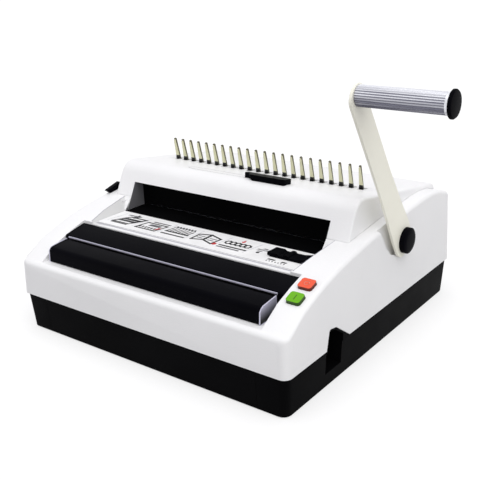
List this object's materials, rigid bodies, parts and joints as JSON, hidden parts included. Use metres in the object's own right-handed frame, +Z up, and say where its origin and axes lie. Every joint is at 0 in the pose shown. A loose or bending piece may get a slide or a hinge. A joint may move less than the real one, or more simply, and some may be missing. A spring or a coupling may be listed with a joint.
{
  "type": "spiral binding machine",
  "caption": "Desktop binding machine: white shell on a black tray, hood with a row of comb fingers, side lever with a ribbed grip, punch throat, wire closer bar and two buttons.",
  "frame": {"origin": "middle of the footprint, on the table under the feet", "axes": "+X to the right as the user stands in front, +Y to the rear, +Z up"},
  "size_m": [0.5227, 0.406, 0.3334],
  "materials": {
    "white_shell": "satin",
    "black_plastic": "satin",
    "dark_liner": "matte",
    "label_white": "satin",
    "finger_steel": "satin",
    "dark_steel": "satin",
    "bright_steel": "brushed",
    "zinc_steel": "matte",
    "gearbox_metal": "matte",
    "cream_paint": "satin",
    "aluminium": "satin",
    "green_plastic": "satin",
    "red_plastic": "satin",
    "rubber": "matte",
    "circuit_board": "satin",
    "bush_plastic": "satin"
  },
  "bodies": {
    "machine": {"base_tray": "black_plastic", "foot_front_left": "rubber", "foot_front_right": "rubber", "foot_rear_left": "rubber", "foot_rear_right": "rubber", "upper_shell": "white_shell", "hood": "white_shell", "throat_liner": "dark_liner", "label_strip": "label_white", "front_deck": "black_plastic", "closer_anvil": "bright_steel", "comb_slot_plate": "white_shell", "gauge_track": "black_plastic", "power_inlet": "black_plastic", "frame_left": "zinc_steel", "frame_right": "zinc_steel", "comb_rack": "finger_steel", "punch_die": "zinc_steel", "punch_stripper": "zinc_steel", "gearbox": "gearbox_metal", "motor": "zinc_steel", "hub_bush": "bush_plastic", "green_switch": "black_plastic", "red_switch": "black_plastic", "switch_board": "circuit_board"},
    "lever": {"lever_arm": "cream_paint", "lever_shaft": "zinc_steel", "lever_cap": "black_plastic", "grip_tube": "aluminium", "grip_ring": "aluminium", "grip_cap": "black_plastic", "grip_core": "zinc_steel", "opener_pinion": "zinc_steel", "closer_cam_left": "zinc_steel", "closer_cam_right": "zinc_steel"},
    "opener": {"hook_shaft": "zinc_steel", "opener_hooks": "dark_steel", "opener_sector": "zinc_steel"},
    "closer": {"closer_bar": "black_plastic", "closer_rod_left": "zinc_steel", "closer_rod_right": "zinc_steel"},
    "cam": {"cam_shaft": "zinc_steel", "punch_cam_left": "zinc_steel", "punch_cam_right": "zinc_steel"},
    "punch": {"punch_bar": "bright_steel"},
    "drawer": {"chip_drawer": "black_plastic", "drawer_front": "black_plastic"},
    "green_key": {"green_button": "green_plastic"},
    "red_key": {"red_button": "red_plastic"},
    "guide": {"edge_guide": "black_plastic"},
    "gauge": {"gauge_knob": "black_plastic"},
    "selector": {"margin_selector": "black_plastic"}
  },
  "joints": [
    {"name": "lever_pivot", "type": "hinge", "parent": "machine", "child": "lever", "pos_m": [0.208, 0.0535, 0.1227], "axis": [1, 0, 0], "range_deg": [0, 64]},
    {"name": "opener_pivot", "type": "hinge", "parent": "machine", "child": "opener", "pos_m": [0, 0.061, 0.16808], "axis": [1, 0, 0], "range_deg": [-22.7, 0]},
    {"name": "closer_slide", "type": "slide", "parent": "machine", "child": "closer", "axis": [0, 1, 0], "range_m": [0, 0.00265]},
    {"name": "cam_turn", "type": "hinge", "parent": "machine", "child": "cam", "pos_m": [0, -0.008, 0.166], "axis": [-1, 0, 0], "range_deg": [0, 90.5]},
    {"name": "punch_slide", "type": "slide", "parent": "machine", "child": "punch", "axis": [0, 0, -1], "range_m": [0, 0.009]},
    {"name": "drawer_slide", "type": "slide", "parent": "machine", "child": "drawer", "axis": [0, -1, 0], "range_m": [0, 0.15]},
    {"name": "green_press", "type": "slide", "parent": "machine", "child": "green_key", "axis": [0, 0.3403, -0.9403], "range_m": [0, 0.0025], "stiffness_N_per_m": 300},
    {"name": "red_press", "type": "slide", "parent": "machine", "child": "red_key", "axis": [0, 0.2943, -0.9557], "range_m": [0, 0.0025], "stiffness_N_per_m": 300},
    {"name": "guide_slide", "type": "slide", "parent": "machine", "child": "guide", "axis": [-1, 0, 0], "range_m": [0, 0.018]},
    {"name": "gauge_slide", "type": "slide", "parent": "machine", "child": "gauge", "axis": [1, 0, 0], "range_m": [-0.009, 0]},
    {"name": "selector_slide", "type": "slide", "parent": "machine", "child": "selector", "axis": [0, 0.9915, 0.1304], "range_m": [0, 0.014]}
  ],
  "couplings": [
    {"joint": "opener_pivot", "follows": "lever_pivot", "ratio": -0.35294},
    {"joint": "closer_slide", "follows": "lever_pivot", "m_per_rad": 0.0023276},
    {"joint": "cam_turn", "follows": "punch_slide", "rad_per_m": 174.53}
  ]
}
